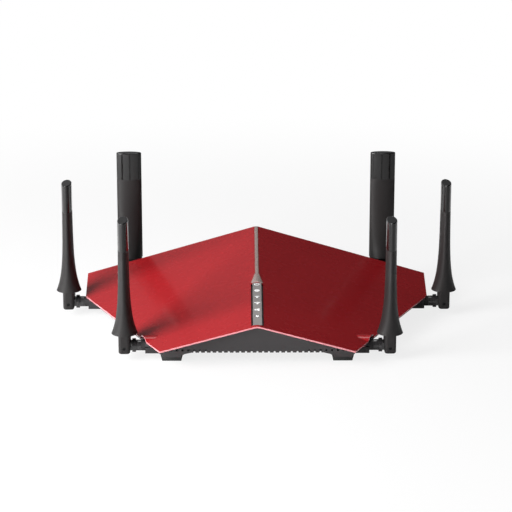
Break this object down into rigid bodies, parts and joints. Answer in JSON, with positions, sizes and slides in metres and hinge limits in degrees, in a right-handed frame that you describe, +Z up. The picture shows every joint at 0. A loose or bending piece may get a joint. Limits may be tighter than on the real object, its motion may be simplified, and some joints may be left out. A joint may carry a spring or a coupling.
{
  "type": "wireless router",
  "caption": "Wireless router: faceted two-wing roof on a shallow dark casing, with flared folding antennas on swivel arms, a spine indicator panel and rear sockets.",
  "frame": {"origin": "on the table, under the centre of the object's box", "axes": "+X to the right seen from the front, +Y to the rear, +Z up"},
  "size_m": [0.3874, 0.2604, 0.14],
  "materials": {
    "red_gloss": "gloss",
    "silver_trim": "satin",
    "panel_grey": "satin",
    "window_white": "gloss",
    "black_plastic": "matte",
    "clear_guide": "gloss",
    "circuit_board": "satin",
    "grille_grey": "matte",
    "foot_rubber": "matte",
    "button_black": "satin",
    "port_black": "satin",
    "plated_steel": "satin",
    "bare_aluminium": "satin",
    "lead_black": "satin",
    "antenna_matte": "matte",
    "antenna_gloss": "gloss"
  },
  "bodies": {
    "casing": {"top_cover": "red_gloss", "spine_trim": "silver_trim", "led_panel": "panel_grey", "led_windows": "window_white", "led_bezel": "black_plastic", "light_guide": "clear_guide", "led_board": "circuit_board", "bottom_shell": "black_plastic", "front_grille": "grille_grey", "rear_panel": "black_plastic", "rubber_feet": "foot_rubber", "tact_switches": "port_black", "lan_jacks": "port_black", "wan_jack": "port_black", "usb3_jack": "plated_steel", "usb2_jack": "plated_steel", "power_jack": "port_black", "mainboard": "circuit_board", "case_screws": "plated_steel", "board_screws": "plated_steel", "processor": "port_black", "heat_sink": "bare_aluminium", "shield_cans": "plated_steel", "capacitors": "port_black", "coax_leads": "lead_black"},
    "power_button": {"power_button": "button_black"},
    "wps_button": {"wps_button": "button_black"},
    "reset_button": {"reset_button": "button_black"},
    "arm_front_left": {"swivel_arm_front_left": "antenna_matte"},
    "antenna_front_left": {"antenna_shell_front_left": "antenna_matte", "antenna_tip_front_left": "antenna_gloss", "radiator_front_left": "circuit_board", "hinge_pin_front_left": "plated_steel"},
    "arm_front_right": {"swivel_arm_front_right": "antenna_matte"},
    "antenna_front_right": {"antenna_shell_front_right": "antenna_matte", "antenna_tip_front_right": "antenna_gloss", "radiator_front_right": "circuit_board", "hinge_pin_front_right": "plated_steel"},
    "arm_side_left": {"swivel_arm_side_left": "antenna_matte"},
    "antenna_side_left": {"antenna_shell_side_left": "antenna_matte", "antenna_tip_side_left": "antenna_gloss", "radiator_side_left": "circuit_board", "hinge_pin_side_left": "plated_steel"},
    "arm_side_right": {"swivel_arm_side_right": "antenna_matte"},
    "antenna_side_right": {"antenna_shell_side_right": "antenna_matte", "antenna_tip_side_right": "antenna_gloss", "radiator_side_right": "circuit_board", "hinge_pin_side_right": "plated_steel"},
    "arm_rear_left": {"swivel_arm_rear_left": "antenna_matte"},
    "antenna_rear_left": {"antenna_shell_rear_left": "antenna_matte", "antenna_tip_rear_left": "antenna_gloss", "radiator_rear_left": "circuit_board", "hinge_pin_rear_left": "plated_steel"},
    "arm_rear_right": {"swivel_arm_rear_right": "antenna_matte"},
    "antenna_rear_right": {"antenna_shell_rear_right": "antenna_matte", "antenna_tip_rear_right": "antenna_gloss", "radiator_rear_right": "circuit_board", "hinge_pin_rear_right": "plated_steel"}
  },
  "joints": [
    {"name": "swivel_front_left", "type": "hinge", "parent": "casing", "child": "arm_front_left", "pos_m": [-0.1214, -0.0954, 0.0124], "axis": [1, 0, 0], "range_deg": [-45, 90]},
    {"name": "fold_front_left", "type": "hinge", "parent": "arm_front_left", "child": "antenna_front_left", "pos_m": [-0.1214, -0.0954, 0.0124], "axis": [0, -1, 0], "range_deg": [0, 90]},
    {"name": "swivel_front_right", "type": "hinge", "parent": "casing", "child": "arm_front_right", "pos_m": [0.1214, -0.0954, 0.0124], "axis": [1, 0, 0], "range_deg": [-45, 90]},
    {"name": "fold_front_right", "type": "hinge", "parent": "arm_front_right", "child": "antenna_front_right", "pos_m": [0.1214, -0.0954, 0.0124], "axis": [0, 1, 0], "range_deg": [0, 90]},
    {"name": "swivel_side_left", "type": "hinge", "parent": "casing", "child": "arm_side_left", "pos_m": [-0.1818, 0.0342, 0.0124], "axis": [1, 0, 0], "range_deg": [-90, 90]},
    {"name": "fold_side_left", "type": "hinge", "parent": "arm_side_left", "child": "antenna_side_left", "pos_m": [-0.1818, 0.0342, 0.0124], "axis": [0, -1, 0], "range_deg": [0, 90]},
    {"name": "swivel_side_right", "type": "hinge", "parent": "casing", "child": "arm_side_right", "pos_m": [0.1818, 0.0342, 0.0124], "axis": [1, 0, 0], "range_deg": [-90, 90]},
    {"name": "fold_side_right", "type": "hinge", "parent": "arm_side_right", "child": "antenna_side_right", "pos_m": [0.1818, 0.0342, 0.0124], "axis": [0, 1, 0], "range_deg": [0, 90]},
    {"name": "swivel_rear_left", "type": "hinge", "parent": "casing", "child": "arm_rear_left", "pos_m": [-0.1261, 0.11825, 0.0209], "axis": [0, -1, 0], "range_deg": [-90, 90]},
    {"name": "fold_rear_left", "type": "hinge", "parent": "arm_rear_left", "child": "antenna_rear_left", "pos_m": [-0.1261, 0.11825, 0.0209], "axis": [-1, 0, 0], "range_deg": [0, 90]},
    {"name": "swivel_rear_right", "type": "hinge", "parent": "casing", "child": "arm_rear_right", "pos_m": [0.1261, 0.11825, 0.0209], "axis": [0, 1, 0], "range_deg": [-90, 90]},
    {"name": "fold_rear_right", "type": "hinge", "parent": "arm_rear_right", "child": "antenna_rear_right", "pos_m": [0.1261, 0.11825, 0.0209], "axis": [-1, 0, 0], "range_deg": [0, 90]},
    {"name": "power_button_press", "type": "slide", "parent": "casing", "child": "power_button", "axis": [0, -1, 0], "range_m": [0, 0.0015], "stiffness_N_per_m": 300},
    {"name": "wps_button_press", "type": "slide", "parent": "casing", "child": "wps_button", "axis": [0, -1, 0], "range_m": [0, 0.0008], "stiffness_N_per_m": 300},
    {"name": "reset_button_press", "type": "slide", "parent": "casing", "child": "reset_button", "axis": [0, -1, 0], "range_m": [0, 0.0008], "stiffness_N_per_m": 300}
  ]
}
